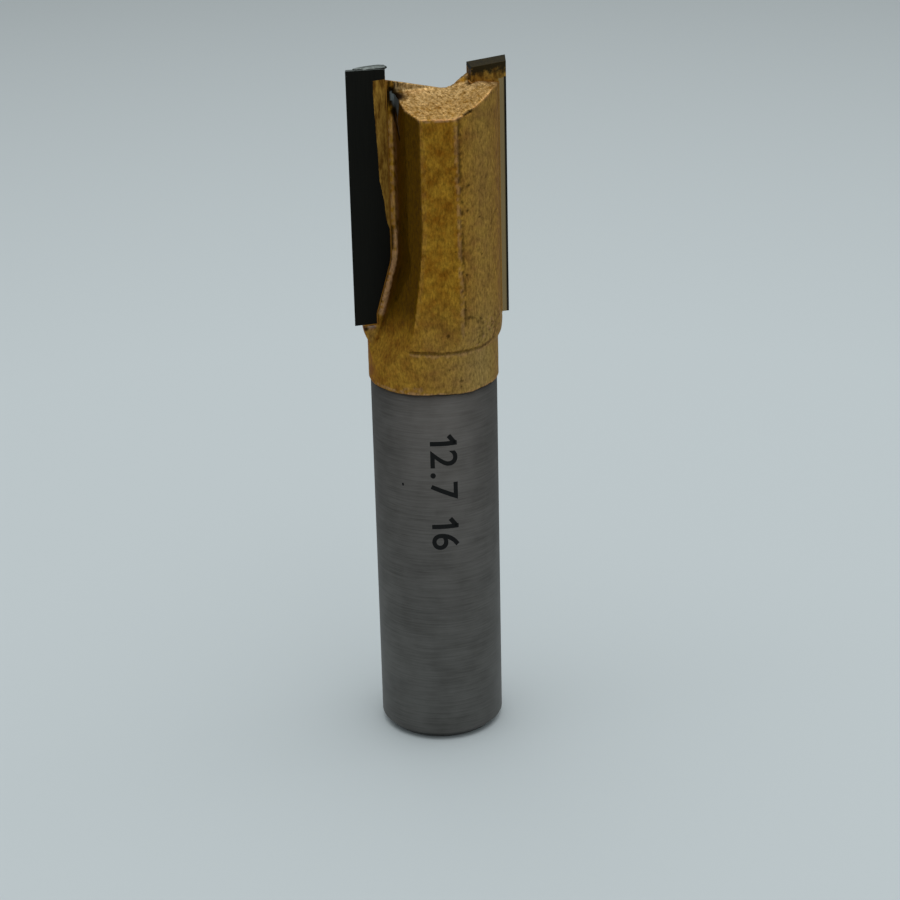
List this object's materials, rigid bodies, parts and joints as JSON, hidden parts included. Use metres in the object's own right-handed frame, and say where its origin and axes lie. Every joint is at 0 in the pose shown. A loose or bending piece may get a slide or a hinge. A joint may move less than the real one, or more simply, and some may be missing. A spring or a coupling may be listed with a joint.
{
  "type": "straight router bit",
  "caption": "Straight router bit for wood: a ground cylindrical shank, a painted milled head and flat black carbide cutting tips brazed along the flutes.",
  "frame": {"origin": "centre of the shank's end face", "axes": "+Z along the axis from the shank's end to the cutting end; the two long cutting edges lie at -X and +X in the plane y = 0, the left tip's rake face looks along -Y and the right tip's along +Y"},
  "size_m": [0.0158, 0.014, 0.0702],
  "materials": {
    "body_steel": "bronze-gold paint on the head and neck, bare ground steel on the shank",
    "carbide": "fine ground black tungsten carbide",
    "braze": "dull silver-brass braze under thin paint"
  },
  "bodies": {
    "root": {"cutter_body": "body_steel", "carbide_tip_left": "carbide", "carbide_tip_right": "carbide", "braze_seam_left": "braze", "braze_seam_right": "braze"}
  },
  "joints": []
}
